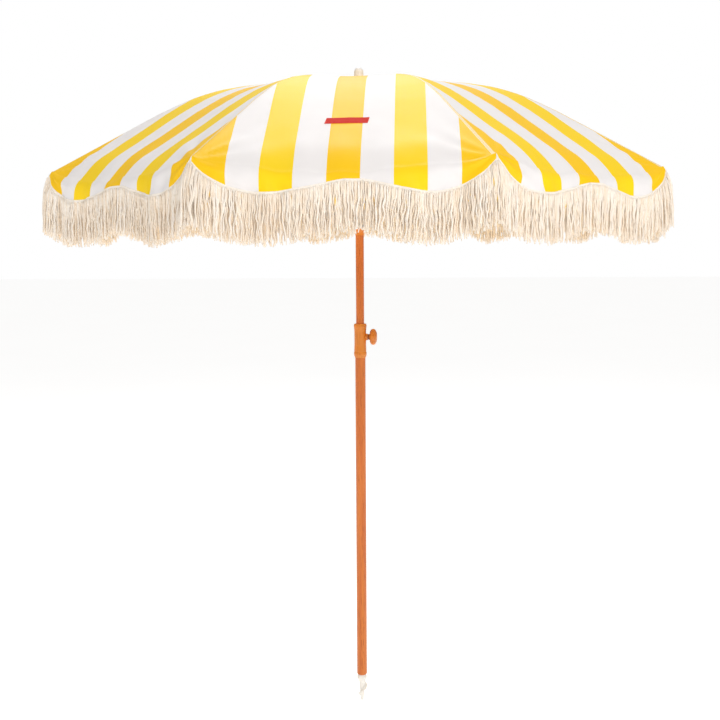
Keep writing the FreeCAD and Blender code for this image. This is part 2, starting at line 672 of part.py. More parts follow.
single_parts = {
    "ground_spike": ground_spike,
    "lower_pole": lower_pole,
    "clamp_sleeve": clamp_sleeve,
    "clamp_insert": clamp_insert,
    "pressure_pad": pressure_pad,
    "clamp_screw": clamp_screw,
    "clamp_knob": clamp_knob,
    "upper_pole": upper_pole,
    "pole_collar": pole_collar,
    "tilt_fork": tilt_fork,
    "tilt_pin": tilt_pin,
    "tilt_button": tilt_button,
    "button_spring": button_spring,
    "tilt_tongue": tilt_tongue,
    "canopy_shaft": canopy_shaft,
    "runner_catch": runner_catch,
    "finial": finial,
    "label": label,
}
for name, make in single_parts.items():
    export(name, make())
export("top_hub", *top_hub())
export("runner", *runner())

repeated_parts = {
    "rib": [rib()],
    "rib_fittings": [rib_clip(), rib_cap()],
    "stretcher": [stretcher()],
    "canopy_gore": [canopy_gore()],
    "valance": valance(),
}
for number in range(RIB_COUNT):
    for name, solids in repeated_parts.items():
        copies = [turned_copy(solid, rib_azimuth(number)) for solid in solids]
        export(name + "_" + str(number + 1), *copies)
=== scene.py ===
import json
import math
import random

import bpy
import numpy as np
from mathutils import Matrix, Vector, noise

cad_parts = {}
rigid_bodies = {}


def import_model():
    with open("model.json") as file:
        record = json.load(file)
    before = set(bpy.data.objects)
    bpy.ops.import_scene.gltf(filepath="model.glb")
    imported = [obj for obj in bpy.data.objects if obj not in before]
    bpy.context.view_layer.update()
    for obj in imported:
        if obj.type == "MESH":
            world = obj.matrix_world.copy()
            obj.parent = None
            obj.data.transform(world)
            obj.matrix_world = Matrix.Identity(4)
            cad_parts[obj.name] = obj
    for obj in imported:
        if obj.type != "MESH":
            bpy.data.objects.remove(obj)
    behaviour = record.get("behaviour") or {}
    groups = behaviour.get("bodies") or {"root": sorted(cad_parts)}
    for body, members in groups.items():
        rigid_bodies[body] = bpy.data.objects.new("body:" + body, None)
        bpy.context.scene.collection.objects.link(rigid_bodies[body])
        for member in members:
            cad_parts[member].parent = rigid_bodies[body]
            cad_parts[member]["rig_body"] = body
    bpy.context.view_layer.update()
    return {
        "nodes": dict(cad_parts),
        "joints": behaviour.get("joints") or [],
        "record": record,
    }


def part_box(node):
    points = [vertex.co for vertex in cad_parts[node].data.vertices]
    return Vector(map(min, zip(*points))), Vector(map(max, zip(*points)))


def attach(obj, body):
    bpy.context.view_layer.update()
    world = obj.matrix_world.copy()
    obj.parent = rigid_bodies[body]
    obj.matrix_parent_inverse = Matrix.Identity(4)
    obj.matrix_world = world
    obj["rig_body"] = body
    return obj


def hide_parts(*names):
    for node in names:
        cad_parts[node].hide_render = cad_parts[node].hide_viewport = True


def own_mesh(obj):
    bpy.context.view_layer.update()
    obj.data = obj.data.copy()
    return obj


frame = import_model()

# Beach umbrella: fabric canopy, hanging hem, cotton fringe and materials around the CAD frame.
# Metres. A gore is the fabric between two ribs; "across" runs along its chord, from the middle of
# the gore to a rib, and "out" runs from the pole to the chord.

JOINTS = {joint["name"]: joint for joint in frame["joints"]}
SLOT_OF = {part["node"]: part["material_slot"] for part in frame["record"]["subparts"]}

# ---- sizes read from the frame ---------------------------------------------------------------
RIB_COUNT = sum(name.startswith("rib_hinge_") for name in JOINTS)
FIRST_TIP = Vector(JOINTS["skirt_hinge_1"]["pos_m"])
TIP_RADIUS = FIRST_TIP.xy.length
TIP_Z = FIRST_TIP.z
HALF_GORE = math.pi / RIB_COUNT
HALF_CHORD = TIP_RADIUS * math.sin(HALF_GORE)
EDGE_OUT = TIP_RADIUS * math.cos(HALF_GORE)

# ---- sizes of the soft parts -----------------------------------------------------------------
CLOTH_THICKNESS = 0.0008
INNER_RADIUS = 0.021
STRIPES = 9
SAG = 0.016
ROLL_WIDTH = 0.075
ROLL_DROP = 0.021
TUCK = 0.014
LONG_RIPPLE = 0.0045
FINE_RIPPLE = 0.0012
EDGE_FOLD = 0.0100
EDGE_FOLD_REACH = 0.20
CREASE_SIZE = 0.0040
CREASE_FADE = 0.11
LABEL_LIFT = 0.0011
SEAM_TO_STITCH = 0.0050
STITCH_HALF_WIDTH = 0.0004
STITCHES_PER_METRE = 250.0
THREADS_PER_METRE = 1100.0
ROW_CROWDING = 1.35
TAPE_WIDTH = 0.0085
STRAND_RADIUS = 0.0021
STRAND_SPACING = 0.0050
STRAND_LAYERS = 3

AMBIENT_LOW = 0.20
AMBIENT_HIGH = 0.55
KEY_POWER = 80
BACK_POWER = 78
FILL_POWER = 20
FLOOR_GLOW = 0.52

rng = random.Random(11)


def mix(a, b, share):
    return a + (b - a) * share


def smooth_step(low, high, value):
    t = min(max((value - low) / (high - low), 0.0), 1.0)
    return t * t * (3 - 2 * t)


def through(points, x):
    """A smooth curve through (x, y) points, by Catmull-Rom."""
    last = len(points) - 1
    k = max(i for i in range(last) if points[i][0] <= x or i == 0)
    (x0, y0), (x1, y1) = points[k], points[k + 1]
    before = points[max(k - 1, 0)]
    after = points[min(k + 2, last)]
    m0 = (y1 - before[1]) / (x1 - before[0])
    m1 = (after[1] - y0) / (after[0] - x0)
    width = x1 - x0
    t = min(max((x - x0) / width, 0.0), 1.0)
    a = (1 + 2 * t) * (1 - t) ** 2 * y0 + t * t * (3 - 2 * t) * y1
    return a + width * (t * (1 - t) ** 2 * m0 - t * t * (1 - t) * m1)


# ---- the canopy's surface --------------------------------------------------------------------
# The ribs' own line, read from a CAD gore: its highest point at each radius.
def rib_profile():
    """(radius, height) of the fabric's top over a rib, from the first CAD gore."""
    spot = Vector(JOINTS["rib_hinge_1"]["pos_m"]).xy.normalized()
    found = {}
    for vertex in frame["nodes"]["canopy_gore_1"].data.vertices:
        side = abs(vertex.co.x * spot.y - vertex.co.y * spot.x)
        if side < 0.0005:
            radius = vertex.co.xy.dot(spot)
            key = round(radius, 3)
            found[key] = max(found.get(key, 0.0), vertex.co.z)
    line = sorted(found.items())
    kept = [line[0]]
    for radius, height in line[1:]:
        if radius - kept[-1][0] > 0.012:
            kept.append((radius, height))
    return kept


RIB_LINE = rib_profile()
RIB_RADII = [point[0] for point in RIB_LINE]
RIB_HEIGHTS = [point[1] for point in RIB_LINE]


def rib_height(radius):
    return float(np.interp(radius, RIB_RADII, RIB_HEIGHTS))


HEM = [(0.0, 0.0495), (0.08, 0.0500), (0.30, 0.0655), (0.565, 0.078)]
HEM += [(0.77, 0.064), (0.90, 0.037), (1.0, 0.004)]


HEM_DRIFT = 0.07


def hem_depth(share):
    """Depth of the hem under the rib ends, at a share of the half chord."""
    return through(HEM, min(abs(share), 1.0))


def gore_frame(gore):
    """(outward, along the chord) unit vectors of the gore between rib number gore and the next."""
    first = Vector(JOINTS["skirt_hinge_%d" % (gore + 1)]["pos_m"])
    second = Vector(JOINTS["skirt_hinge_%d" % ((gore + 1) % RIB_COUNT + 1)]["pos_m"])
    outward = Vector(((first.x + second.x), (first.y + second.y), 0)).normalized()
    return outward, Vector((-outward.y, outward.x, 0))


def cloth_noise(gore, across, out, scale):
    return noise.noise(Vector((across * scale, out * scale, 7.3 * gore)))


def tip_creases(gore, share, out, fall=0.0):
    """Height of the pulled creases that fan out from the rib ends."""
    beside = (1 - abs(share)) * HALF_CHORD
    above = EDGE_OUT - out - fall
    away = math.hypot(beside, above)
    turn = math.atan2(above, beside)
    side = 3 if share > 0 else 5
    size = CREASE_SIZE * math.exp(-away / CREASE_FADE) * smooth_step(0.0, 0.05, beside)
    return size * math.sin(11 * turn + 1.3 * gore + side)


def canopy_point(gore, share, out):
    """A point of the canopy's top at a lateral share from -1 to 1, at a distance out."""
    across = share * out * math.tan(HALF_GORE)
    z = rib_height(out / math.cos(HALF_GORE))
    slack = 1 - share * share
    reach = out / EDGE_OUT
    z -= SAG * reach * slack
    width = ROLL_WIDTH * (1 + 0.35 * cloth_noise(gore + 60, across, 0.0, 7.0))
    roll = max(0.0, (out - (EDGE_OUT - width)) / width)
    z -= ROLL_DROP * roll * roll * (1 - abs(share) ** 3)
    ripple = cloth_noise(gore, across, out * 0.35, 9.0) * LONG_RIPPLE * slack * reach
    ripple += cloth_noise(gore + 20, across, out, 26.0) * FINE_RIPPLE * slack * reach
    near_edge = smooth_step(EDGE_OUT - EDGE_FOLD_REACH, EDGE_OUT, out)
    fold = cloth_noise(gore + 80, across, out * 0.4, 15.0) * EDGE_FOLD
    ripple += fold * near_edge * math.sqrt(slack)
    return across, out, z + ripple + tip_creases(gore, share, out)


def nearness_to_rib(share):
    return smooth_step(0.78, 1.0, abs(share))


def stand_off(gore, share, fall):
    """How far the hanging strip stands out from the chord, fall metres under it."""
    free = 1 - nearness_to_rib(share)
    depth = min(fall / 0.05, 1.6)
    wave = math.sin(9.5 * share + 2.1 * gore) * 0.6 + math.sin(21.0 * share + 5.3 * gore) * 0.4
    crumple = cloth_noise(gore + 40, share * HALF_CHORD, fall * 0.6, 30.0) * 0.010
    return TUCK * (1 - math.exp(-fall / TUCK)) + (0.009 * wave + crumple) * depth * free


def pushed_out(across, out, distance, share):
    """A place moved outward: square to the chord, and along the rib where it is near one."""
    sideways = distance * math.tan(HALF_GORE) * nearness_to_rib(share)
    return across + math.copysign(sideways, share), out + distance


def hem_point(gore, share, down):
    """A point of the hanging strip, down from 0 at the chord to 1 at the hem."""
    across, out, z_top = canopy_point(gore, share, EDGE_OUT)
    z_hem = TIP_Z - hem_depth(share - HEM_DRIFT * (1 - share * share) ** 2)
    fall = max(z_top - z_hem, 0.002) * down
    crease = tip_creases(gore, share, EDGE_OUT, fall) - tip_creases(gore, share, EDGE_OUT)
    across, out = pushed_out(across, out, stand_off(gore, share, fall) + crease, share)
    return across, out, z_top - fall


ROWS_OUT = 56
ROWS_HEM = 14
HALF_COLUMNS = 26


def row_out(row):
    """Distance out of a row of the canopy's grid, closer together towards the chord."""
    return mix(INNER_RADIUS * math.cos(HALF_GORE), EDGE_OUT, 1 - (1 - row / ROWS_OUT) ** ROW_CROWDING)


def gore_grid(gore):
    """Points of a whole gore from the hub to the hem, as an array [row, column, xyz], and its cloth
    coordinates [row, column, (across, along, distance to the rib)]."""
    outward, chord = gore_frame(gore)
    rows = []
    cloth = []
    for i in range(ROWS_OUT + ROWS_HEM + 1):
        line = []
        marks = []
        for j in range(2 * HALF_COLUMNS + 1):
            share = math.sin((j / HALF_COLUMNS - 1) * math.pi / 2) * 0.35 + (j / HALF_COLUMNS - 1) * 0.65
            if i <= ROWS_OUT:
                across, out, z = canopy_point(gore, share, row_out(i))
                along = out
                to_rib = (1 - abs(share)) * out * math.tan(HALF_GORE)
            else:
                down = (i - ROWS_OUT) / ROWS_HEM
                across, out, z = hem_point(gore, share, down)
                along = EDGE_OUT + down * hem_depth(share)
                to_rib = (1 - abs(share)) * HALF_CHORD + 0.02 * down
            place = outward * out + chord * across
            line.append((place.x, place.y, z))
            marks.append((across, along, to_rib))
        rows.append(line)
        cloth.append(marks)
    return np.array(rows), np.array(cloth)


def grid_normals(points):
    down = np.gradient(points, axis=0)
    side = np.gradient(points, axis=1)
    normals = np.cross(down, side)
    length = np.linalg.norm(normals, axis=2, keepdims=True)
    normals = normals / np.maximum(length, 1e-12)
    upright = np.mean(normals[: ROWS_OUT // 2, :, 2]) > 0
    return normals if upright else -normals


GORES = []
for gore_number in range(RIB_COUNT):
    gore_points, gore_cloth = gore_grid(gore_number)
    GORES.append((gore_points, gore_cloth, grid_normals(gore_points)))


def new_object(name, vertices, faces, material):
    mesh = bpy.data.meshes.new(name)
    mesh.from_pydata([tuple(v) for v in vertices], [], faces)
    mesh.materials.append(material)
    obj = bpy.data.objects.new(name, mesh)
    bpy.context.scene.collection.objects.link(obj)
    for polygon in mesh.polygons:
        polygon.use_smooth = True
    return obj


def float_attribute(mesh, name, values):
    attribute = mesh.attributes.new(name, "FLOAT", "POINT")
    attribute.data.foreach_set("value", np.asarray(values, np.float32))


def cloth_piece(name, points, cloth, normals, material):
    """A closed thin sheet from a grid, with the grid's own normals on both faces."""
    rows, columns = points.shape[:2]
    top = points.reshape(-1, 3)
    spread = normals.reshape(-1, 3)
    under = top - spread * CLOTH_THICKNESS
    count = rows * columns
    faces = []
    for i in range(rows - 1):
        for j in range(columns - 1):
            a, b = i * columns + j, i * columns + j + 1
            c, d = b + columns, a + columns
            faces.append((a, d, c, b))
            faces.append((a + count, b + count, c + count, d + count))
    border = list(range(columns))
    border += [i * columns + columns - 1 for i in range(1, rows)]
    border += [(rows - 1) * columns + j for j in range(columns - 2, -1, -1)]
    border += [i * columns for i in range(rows - 2, 0, -1)]
    sheet_faces = len(faces)
    # the rim that closes the two faces
    for here, there in zip(border, border[1:] + border[:1]):
        faces.append((here, there, there + count, here + count))
    obj = new_object(name, np.vstack([top, under]), faces, material)
    mesh = obj.data
    sides = np.vstack([spread, -spread])
    loop_normals = []
    # the sheet's winding decides which way its outer face looks
    outer = mesh.polygons[0].normal.dot(Vector(spread[0])) >= 0
    if not outer:
        mesh.flip_normals()
    for polygon in mesh.polygons:
        for k in polygon.vertices:
            rim = polygon.index >= sheet_faces
            loop_normals.append(polygon.normal if rim else Vector(sides[k]))
    mesh.normals_split_custom_set(loop_normals)
    marks = cloth.reshape(-1, 3)
    for column, label in enumerate(("across", "along", "to_rib")):
        float_attribute(mesh, label, np.tile(marks[:, column], 2))
    return obj


# ---- materials -------------------------------------------------------------------------------
class Nodes:
    """A short way to write a material's nodes."""

    def __init__(self, name):
        self.material = bpy.data.materials.new(name)
        self.material.use_nodes = True
        self.tree = self.material.node_tree
        self.shader = self.tree.nodes["Principled BSDF"]

    def add(self, kind, **inputs):
        node = self.tree.nodes.new(kind)
        for key, value in inputs.items():
            if hasattr(node, key) and key not in node.inputs:
                setattr(node, key, value)
            else:
                self.put(node.inputs[key], value)
        return node

    def put(self, socket, value):
        if isinstance(value, bpy.types.NodeSocket):
            self.tree.links.new(value, socket)
        else:
            socket.default_value = value

    def math(self, operation, first, second=0.0, third=0.0):
        node = self.tree.nodes.new("ShaderNodeMath")
        node.operation = operation
        for socket, value in zip(node.inputs, (first, second, third)):
            self.put(socket, value)
        return node.outputs[0]

    def attribute(self, name):
        node = self.tree.nodes.new("ShaderNodeAttribute")
        node.attribute_name = name
        return node.outputs["Fac"]

    def mix(self, share, first, second):
        node = self.tree.nodes.new("ShaderNodeMix")
        node.data_type = "RGBA"
        for socket, value in zip((node.inputs[0], node.inputs[6], node.inputs[7]), (share, first, second)):
            self.put(socket, value)
        return node.outputs[2]

    def noise(self, scale, detail=3.0, vector=None, stretch=None):
        if vector is None:
            vector = self.add("ShaderNodeTexCoord").outputs["Object"]
        if stretch is not None:
            mapping = self.add("ShaderNodeMapping")
            self.put(mapping.inputs["Vector"], vector)
            mapping.inputs["Scale"].default_value = stretch
            vector = mapping.outputs[0]
        node = self.tree.nodes.new("ShaderNodeTexNoise")
        self.put(node.inputs["Vector"], vector)
        node.inputs["Scale"].default_value = scale
        node.inputs["Detail"].default_value = detail
        return node.outputs["Fac"]

    def bump(self, height, distance, strength=1.0, under=None):
        node = self.tree.nodes.new("ShaderNodeBump")
        node.inputs["Strength"].default_value = strength
        node.inputs["Distance"].default_value = distance
        self.put(node.inputs["Height"], height)
        if under is not None:
            self.put(node.inputs["Normal"], under)
        return node.outputs[0]

    def finish(self, **sockets):
        for key, value in sockets.items():
            self.put(self.shader.inputs[key.replace("_", " ")], value)
        return self.material


def srgb(red, green, blue):
    """A linear colour from sRGB values of 0 to 255."""
    values = []
    for value in (red, green, blue):
        share = value / 255
        values.append(share / 12.92 if share <= 0.04045 else ((share + 0.055) / 1.055) ** 2.4)
    return (*values, 1.0)


def canvas():
    """Striped woven canvas: the stripes come from the distance across the gore."""
    n = Nodes("striped_canvas")
    across, along, to_rib = (n.attribute(name) for name in ("across", "along", "to_rib"))
    stripe = n.math("MULTIPLY", n.math("ADD", across, HALF_CHORD), STRIPES / (2 * HALF_CHORD))
    number = n.math("FLOOR", stripe)
    odd = n.math("MODULO", n.math("ADD", number, 10.0), 2.0)
    lemon = n.math("COMPARE", n.math("MODULO", number, 4.0), 2.0, 0.1)
    yellow = n.mix(lemon, srgb(255, 203, 6), srgb(255, 215, 8))
    stained = n.noise(14.0, 2.0)
    white = n.mix(stained, srgb(238, 233, 232), srgb(244, 240, 238))
    plain = n.mix(odd, yellow, white)
    # a line of stitches on each side of a rib
    from_stitch = n.math("ABSOLUTE", n.math("SUBTRACT", to_rib, SEAM_TO_STITCH))
    felled = n.math("LESS_THAN", from_stitch, STITCH_HALF_WIDTH)
    dash = n.math("LESS_THAN", n.math("FRACT", n.math("MULTIPLY", along, STITCHES_PER_METRE)), 0.62)
    stitch = n.math("MULTIPLY", felled, dash)
    seam_line = n.math("LESS_THAN", to_rib, 0.0011)
    shaded = n.mix(n.math("MULTIPLY", seam_line, 0.30), plain, srgb(196, 150, 20))
    colour = n.mix(n.math("MULTIPLY", stitch, 0.22), shaded, srgb(236, 214, 150))
    warp = n.math("SINE", n.math("MULTIPLY", across, THREADS_PER_METRE * 2 * math.pi))
    weft = n.math("SINE", n.math("MULTIPLY", along, THREADS_PER_METRE * 2 * math.pi))
    weave = n.math("MULTIPLY", warp, weft)
    weave_bump = n.bump(weave, 0.00006, 0.5)
    slub = n.bump(n.noise(160.0, 4.0), 0.0002, 0.35, weave_bump)
    seam = n.math("SMOOTH_MIN", to_rib, 0.007, 0.002)
    ridge = n.bump(n.math("SUBTRACT", 0.0, seam), 0.05, 0.3, slub)
    raised = n.bump(stitch, 0.0004, 0.8, ridge)
    return n.finish(
        Base_Color=colour,
        Roughness=0.52,
        Normal=raised,
        Specular_IOR_Level=0.27,
    )


def cotton(name, light, dark):
    """Natural cotton yarn, twisted."""
    n = Nodes(name)
    shade = n.attribute("shade")
    fine = n.noise(90.0, 3.0)
    colour = n.mix(n.math("MULTIPLY", n.math("ADD", shade, fine), 0.5), dark, light)
    place = n.add("ShaderNodeTexCoord").outputs["Object"]
    wave = n.tree.nodes.new("ShaderNodeTexWave")
    wave.wave_type = "BANDS"
    wave.bands_direction = "DIAGONAL"
    n.put(wave.inputs["Vector"], place)
    wave.inputs["Scale"].default_value = 60.0
    wave.inputs["Distortion"].default_value = 1.5
    twist = n.bump(wave.outputs["Fac"], 0.0006, 0.7)
    fuzz = n.bump(n.noise(700.0, 2.0), 0.0003, 0.4, twist)
    return n.finish(
        Base_Color=colour,
        Roughness=0.9,
        Normal=fuzz,
        Specular_IOR_Level=0.15,
        Sheen_Weight=0.3,
    )


def wood(name, light, dark, deep, grain_axis, neck=None):
    """Varnished hardwood: long grain, short pores and slow changes of tone. neck is the (start, end)
    along x of a turned neck, painted darker there as shade of its recess."""
    n = Nodes(name)
    stretch = [70.0, 70.0, 70.0]
    stretch[grain_axis] = 3.0
    place = n.add("ShaderNodeTexCoord").outputs["Object"]
    grain = n.noise(1.0, 5.0, place, stretch)
    pores_stretch = [420.0, 420.0, 420.0]
    pores_stretch[grain_axis] = 24.0
    pores = n.noise(1.0, 2.0, place, pores_stretch)
    slow = n.noise(3.5, 2.0, place)
    tone = n.mix(n.math("MULTIPLY_ADD", grain, 2.8, -0.9), dark, light)
    tone = n.mix(n.math("MULTIPLY", slow, 0.35), tone, deep)
    pore = n.math("GREATER_THAN", pores, 0.63)
    tone = n.mix(n.math("MULTIPLY", pore, 0.55), tone, deep)
    # the neck is painted darker: painted shade of the recess between the boss and the knob's disc
    if neck is not None:
        split = n.add("ShaderNodeSeparateXYZ")
        n.put(split.inputs[0], place)
        inside = n.math("MULTIPLY_ADD", slow, 0.002, split.outputs["X"])
        from_middle = n.math("ABSOLUTE", n.math("SUBTRACT", inside, (neck[0] + neck[1]) / 2))
        edge = n.math("DIVIDE", n.math("SUBTRACT", (neck[1] - neck[0]) / 2, from_middle), 0.0015)
        neck_shade = n.math("MINIMUM", n.math("MAXIMUM", edge, 0.0), 1.0)
        tone = n.mix(n.math("MULTIPLY", neck_shade, 0.8), tone, srgb(122, 54, 12))
    relief = n.bump(n.math("SUBTRACT", 0.0, pore), 0.0001, 0.35)
    roughness = n.math("MULTIPLY_ADD", grain, 0.18, 0.30)
    return n.finish(
        Base_Color=tone,
        Roughness=roughness,
        Normal=relief,
        Coat_Weight=0.35,
        Coat_Roughness=0.18,
        Specular_IOR_Level=0.3,
    )


def moulded(name, colour, tint, roughness):
    n = Nodes(name)
    tone = n.mix(n.noise(22.0, 3.0), colour, tint)
    skin = n.bump(n.noise(900.0, 2.0), 0.00008, 0.3)
    return n.finish(
        Base_Color=tone,
        Roughness=n.math("MULTIPLY_ADD", n.noise(60.0, 2.0), 0.12, roughness),
        Normal=skin,
        Subsurface_Weight=0.08,
        Subsurface_Radius=(0.004, 0.004, 0.004),
    )


def metal(name, colour, tint, roughness, metallic=1.0):
    n = Nodes(name)
    place = n.add("ShaderNodeTexCoord").outputs["Object"]
    brushed = n.noise(1.0, 3.0, place, (30.0, 30.0, 900.0))
    tone = n.mix(n.noise(40.0, 4.0), colour, tint)
    return n.finish(
        Base_Color=tone,
        Metallic=metallic,
        Roughness=n.math("MULTIPLY_ADD", brushed, 0.2, roughness),
        Normal=n.bump(brushed, 0.00005, 0.3),
    )


def woven_label():
    n = Nodes("label_ribbon")
    across, along = n.attribute("across"), n.attribute("along")
    ribs = n.math("SINE", n.math("MULTIPLY", along, 7000.0))
    yarn = n.math("SINE", n.math("MULTIPLY", across, 9000.0))
    colour = n.mix(n.noise(120.0, 3.0), srgb(214, 52, 44), srgb(226, 72, 60))
    return n.finish(
        Base_Color=colour,
        Roughness=0.8,
        Normal=n.bump(n.math("ADD", ribs, yarn), 0.0001, 0.5),
        Specular_IOR_Level=0.12,
    )


CANVAS = canvas()
YARN = cotton("cotton_yarn", srgb(255, 250, 243), srgb(246, 224, 196))
TAPE = cotton("cotton_tape", srgb(254, 246, 236), srgb(244, 232, 216))
POLE_WOOD = wood("varnished_pole", srgb(228, 132, 54), srgb(204, 104, 36), srgb(160, 74, 24), 2)
CLAMP_WOOD = wood("varnished_turning", srgb(240, 152, 58), srgb(218, 124, 38), srgb(172, 88, 22), 2)
# the knob's first 7.5 mm is its neck, painted darker as shade of its recess
KNOB_NECK = (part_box("clamp_knob")[0].x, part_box("clamp_knob")[0].x + 0.0075)
KNOB_WOOD = wood(
    "varnished_knob", srgb(240, 152, 58), srgb(212, 116, 34), srgb(166, 82, 20), 0, KNOB_NECK
)
SLOT_MATERIALS = {
    "pole_wood": POLE_WOOD,
    "clamp_wood": CLAMP_WOOD,
    "spike_plastic": moulded("spike_plastic", srgb(246, 244, 240), srgb(238, 234, 226), 0.32),
    "finial_plastic": moulded("finial_plastic", srgb(250, 246, 242), srgb(242, 236, 230), 0.28),
    "hub_plastic": moulded("hub_plastic", srgb(240, 238, 232), srgb(230, 227, 220), 0.42),
    "knuckle_steel": metal("knuckle_steel", srgb(170, 172, 172), srgb(140, 143, 146), 0.32),
    "screw_steel": metal("screw_steel", srgb(186, 186, 184), srgb(150, 150, 150), 0.3),
    "insert_brass": metal("insert_brass", srgb(206, 170, 92), srgb(176, 138, 66), 0.3),
    "rib_steel": metal("rib_steel", srgb(238, 238, 234), srgb(226, 226, 222), 0.36, 0.0),
    "shaft_metal": metal("shaft_metal", srgb(240, 240, 236), srgb(228, 228, 224), 0.34, 0.0),
    "label_fabric": woven_label(),
}
for node_name, node in frame["nodes"].items():
    material = SLOT_MATERIALS.get(SLOT_OF[node_name])
    if material is None:
        continue
    node.data.materials.clear()
    node.data.materials.append(KNOB_WOOD if node_name == "clamp_knob" else material)


# ---- canopy pieces ---------------------------------------------------------------------------
def previous_gore(rib_index):
    return (rib_index - 1) % RIB_COUNT


def joined_halves(rib_index, rows):
    """The grid of the two half gores beside a rib, from one gore's middle to the next one's."""
    left = GORES[previous_gore(rib_index)]
    right = GORES[rib_index]
    middle = HALF_COLUMNS
    arrays = []
    for part in range(3):
        a = left[part][rows, middle:]
        b = right[part][rows, : middle + 1]
        if part == 2:
            ridge = a[:, -1:] + b[:, :1]
            ridge /= np.linalg.norm(ridge, axis=2, keepdims=True)
        else:
            ridge = b[:, :1]
        arrays.append(np.concatenate([a[:, :-1], ridge, b[:, 1:]], axis=1))
    return arrays


# The fabric beside a rib is in bands out from the hub, each carried by the rib's arm. At rest they
# are one surface.
BANDS = [("crown", 0, 4), ("upper", 4, 10), ("middle", 10, 24), ("lower", 24, ROWS_OUT)]


for rib_index in range(RIB_COUNT):
    number = rib_index + 1
    for band, first_row, last_row in BANDS:
        points, cloth, normals = joined_halves(rib_index, slice(first_row, last_row + 1))
        name = "canopy_%d_%s" % (number, band)
        piece = cloth_piece(name, points, cloth, normals, CANVAS)
        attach(piece, "rib_arm_%d" % number)
        if band == BANDS[-1][0]:
            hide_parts("canopy_gore_%d" % number)
        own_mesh(piece)


# ---- hanging hem and fringe ------------------------------------------------------------------
STRAND_SIDES = 5
STRAND_STEPS = 12
FRINGE_DROP = 0.119
RIB_FRINGE_EXTRA = 0.022
RIB_FRINGE_BELLY = 0.016


class Tubes:
    """Collects yarns and tape as one mesh."""

    def __init__(self):
        self.vertices = []
        self.faces = []
        self.shade = []
        self.materials = []

    def tube(self, path, radii, shade):
        start = len(self.vertices)
        for place, radius in zip(path, radii):
            for k in range(STRAND_SIDES):
                angle = 2 * math.pi * k / STRAND_SIDES
                self.vertices.append(
                    (place[0] + radius * math.cos(angle), place[1] + radius * math.sin(angle), place[2])
                )
                self.shade.append(shade)
        for i in range(len(path) - 1):
            for k in range(STRAND_SIDES):
                a = start + i * STRAND_SIDES + k
                b = start + i * STRAND_SIDES + (k + 1) % STRAND_SIDES
                self.faces.append((a, a + STRAND_SIDES, b + STRAND_SIDES, b))
                self.materials.append(0)
        last = start + (len(path) - 1) * STRAND_SIDES
        self.faces.append(tuple(start + k for k in range(STRAND_SIDES)))
        self.faces.append(tuple(last + k for k in reversed(range(STRAND_SIDES))))
        self.materials += [0, 0]


def world_point(gore, across, out, z):
    outward, chord = gore_frame(gore)
    place = outward * out + chord * across
    return Vector((place.x, place.y, z))


def add_tape(tubes, gore, side):
    """The woven header: a thick strip over the hem, with rounded long edges."""
    steps = 44
    section = [(0.0004, 0.12), (0.0012, 0.05), (0.0016, -0.25), (0.0016, -0.78)]
    section += [(0.0008, -1.0), (-0.0014, -1.0), (-0.0018, -0.40), (-0.0010, 0.12)]
    start = len(tubes.vertices)
    count = len(section)
    for i in range(steps + 1):
        share = side * i / steps
        across, out, z = hem_point(gore, share, 1.0)
        for proud, up in section:
            place = world_point(gore, across, out + proud, z + up * TAPE_WIDTH)
            tubes.vertices.append(tuple(place))
            tubes.shade.append(0.8)
    for i in range(steps):
        for k in range(count):
            a = start + i * count + k
            b = start + i * count + (k + 1) % count
            face = (a, b, b + count, a + count)
            tubes.faces.append(face if side > 0 else face[::-1])
            tubes.materials.append(1)
    first = tuple(start + k for k in range(count))
    last = tuple(start + steps * count + k for k in range(count))
    tubes.faces.append(first[::-1] if side > 0 else first)
    tubes.faces.append(last if side > 0 else last[::-1])
    tubes.materials += [1, 1]


def hem_shares():
    """Lateral shares of the strands, evenly spaced along the hem's own line."""
    fine = 400
    shares = [i / fine for i in range(fine + 1)]
    length = [0.0]
    for a, b in zip(shares, shares[1:]):
        step = math.hypot((b - a) * HALF_CHORD, hem_depth(b) - hem_depth(a))
        length.append(length[-1] + step)
    count = int(length[-1] / STRAND_SPACING)
    return [float(np.interp(length[-1] * (i + 0.5) / count, length, shares)) for i in range(count)]


HEM_SHARES = hem_shares()


def lean(gore, share, layer):
    """Sideways drift of the strands' ends, which gathers them in loose bunches."""
    at = share * HALF_CHORD
    wide = noise.noise(Vector((at * 30, gore * 3.1, layer * 5.0)))
    narrow = noise.noise(Vector((at * 95, gore * 1.7 + 9, layer * 2.0)))
    return 0.012 * wide + 0.008 * narrow


